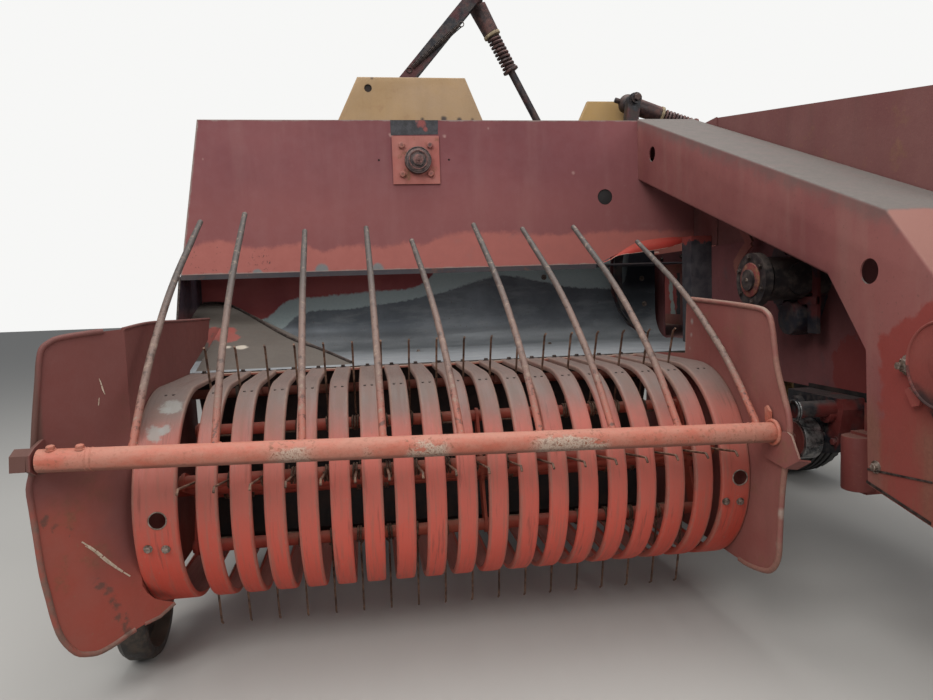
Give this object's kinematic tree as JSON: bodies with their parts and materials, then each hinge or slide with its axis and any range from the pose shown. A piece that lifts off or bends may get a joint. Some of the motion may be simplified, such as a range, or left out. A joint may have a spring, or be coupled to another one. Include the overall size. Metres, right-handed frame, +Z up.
{
  "type": "square baler",
  "caption": "Towed square baler with a banded tine pickup, wind guard, fork feeder under a hood, long bale chamber, knotters, drawbar and wheels.",
  "frame": {"origin": "middle of the bounding box at ground level", "axes": "+Z up, +Y to the rear along the bale chamber, +X to the machine's left side, seen from behind"},
  "size_m": [2.8374, 5.5261, 2.1335],
  "materials": {
    "band_red": "worn red paint, dusty on top",
    "shield_red": "worn red paint",
    "frame_red": "dull dark red paint",
    "hood_maroon": "chalky faded maroon paint",
    "guard_maroon": "chalky faded maroon paint with dust",
    "chamber_red": "worn red paint",
    "worn_steel": "dark worn sheet steel with paint left in places",
    "tan_yellow": "faded yellow paint under dust",
    "greasy_black": "greasy and near black",
    "tine_steel": "brown spring steel",
    "salmon_paint": "faded salmon paint, flaking",
    "rusty_wire": "rusty spring wire",
    "cast_grey": "oily grey castings",
    "rim_yellow": "faded pale yellow paint",
    "tyre_black": "weathered black tyre",
    "plain_steel": "bare weathered steel"
  },
  "bodies": {
    "chassis": {"channel_floor": "frame_red", "channel_rear": "worn_steel", "channel_roof": "frame_red", "hood": "hood_maroon", "crank_guards": "tan_yellow", "feeder_cranks": "greasy_black", "feeder_forks": "greasy_black", "guide_rods": "greasy_black", "guide_springs": "greasy_black", "drive_guard": "guard_maroon", "front_housing": "chamber_red", "chamber_floor": "chamber_red", "chamber_roof": "chamber_red", "wall_near": "chamber_red", "feed_post": "cast_grey", "wall_far": "chamber_red", "tension_rails": "frame_red", "tension_screws": "plain_steel", "knotters": "cast_grey", "needles": "plain_steel", "twine_box": "shield_red", "gearbox": "cast_grey", "plunger": "plain_steel", "axle_frame": "frame_red"},
    "pickup": {"stripper_bands": "band_red", "pickup_frame": "frame_red", "shield_right": "shield_red", "shield_left": "shield_red"},
    "reel": {"reel_core": "band_red", "reel_tines": "tine_steel"},
    "wind_guard": {"wind_tube": "salmon_paint", "wind_rods": "rusty_wire"},
    "gauge_wheel": {"gauge_wheel": "rim_yellow"},
    "left_wheel": {"tyre_left": "tyre_black", "rim_left": "rim_yellow"},
    "right_wheel": {"tyre_right": "tyre_black", "rim_right": "rim_yellow"},
    "flywheel": {"flywheel": "frame_red"},
    "drawbar": {"drawbar": "frame_red"},
    "jack": {"jack": "frame_red"},
    "chute": {"bale_chute": "frame_red"},
    "twine_lid": {"twine_lid": "shield_red"},
    "knotter_cover": {"knotter_cover": "shield_red"},
    "star_wheel": {"star_wheel": "plain_steel"}
  },
  "joints": [
    {"name": "pickup_lift", "type": "hinge", "parent": "chassis", "child": "pickup", "pos_m": [-0.4013, -0.20688, 0.63], "axis": [-1, 0, 0], "range_deg": [0, 15]},
    {"name": "reel_spin", "type": "hinge", "parent": "pickup", "child": "reel", "pos_m": [-0.4723, -0.55688, 0.416], "axis": [1, 0, 0], "continuous": true},
    {"name": "wind_guard_tilt", "type": "hinge", "parent": "pickup", "child": "wind_guard", "pos_m": [-0.5638, -0.94088, 0.57161], "axis": [0.9997, 0, -0.0242], "range_deg": [0, 45]},
    {"name": "gauge_wheel_spin", "type": "hinge", "parent": "pickup", "child": "gauge_wheel", "pos_m": [-1.2893, -0.59688, 0.14], "axis": [1, 0, 0], "continuous": true},
    {"name": "left_wheel_spin", "type": "hinge", "parent": "chassis", "child": "left_wheel", "pos_m": [1.3037, 0.67312, 0.38], "axis": [1, 0, 0], "continuous": true},
    {"name": "right_wheel_spin", "type": "hinge", "parent": "chassis", "child": "right_wheel", "pos_m": [-1.2113, 0.67312, 0.33], "axis": [1, 0, 0], "continuous": true},
    {"name": "flywheel_spin", "type": "hinge", "parent": "chassis", "child": "flywheel", "pos_m": [0.8707, -1.74688, 0.76], "axis": [0, 1, 0], "continuous": true},
    {"name": "drawbar_swing", "type": "hinge", "parent": "chassis", "child": "drawbar", "pos_m": [0.8707, -0.69688, 0.375], "axis": [0, 0, 1], "range_deg": [0, 18]},
    {"name": "jack_fold", "type": "hinge", "parent": "drawbar", "child": "jack", "pos_m": [0.23837, -2.17376, 0.375], "axis": [0.9511, -0.309, 0], "range_deg": [0, 90]},
    {"name": "chute_fold", "type": "hinge", "parent": "chassis", "child": "chute", "pos_m": [0.8707, 2.21712, 0.668], "axis": [1, 0, 0], "range_deg": [0, 90]},
    {"name": "twine_lid_open", "type": "hinge", "parent": "chassis", "child": "twine_lid", "pos_m": [0.3487, 0.57912, 1.206], "axis": [1, 0, 0], "range_deg": [0, 90]},
    {"name": "knotter_cover_open", "type": "hinge", "parent": "chassis", "child": "knotter_cover", "pos_m": [0.8707, 0.85312, 1.07], "axis": [1, 0, 0], "range_deg": [0, 80]},
    {"name": "star_wheel_spin", "type": "hinge", "parent": "chassis", "child": "star_wheel", "pos_m": [0.8447, 1.67312, 1.17], "axis": [1, 0, 0], "continuous": true}
  ]
}
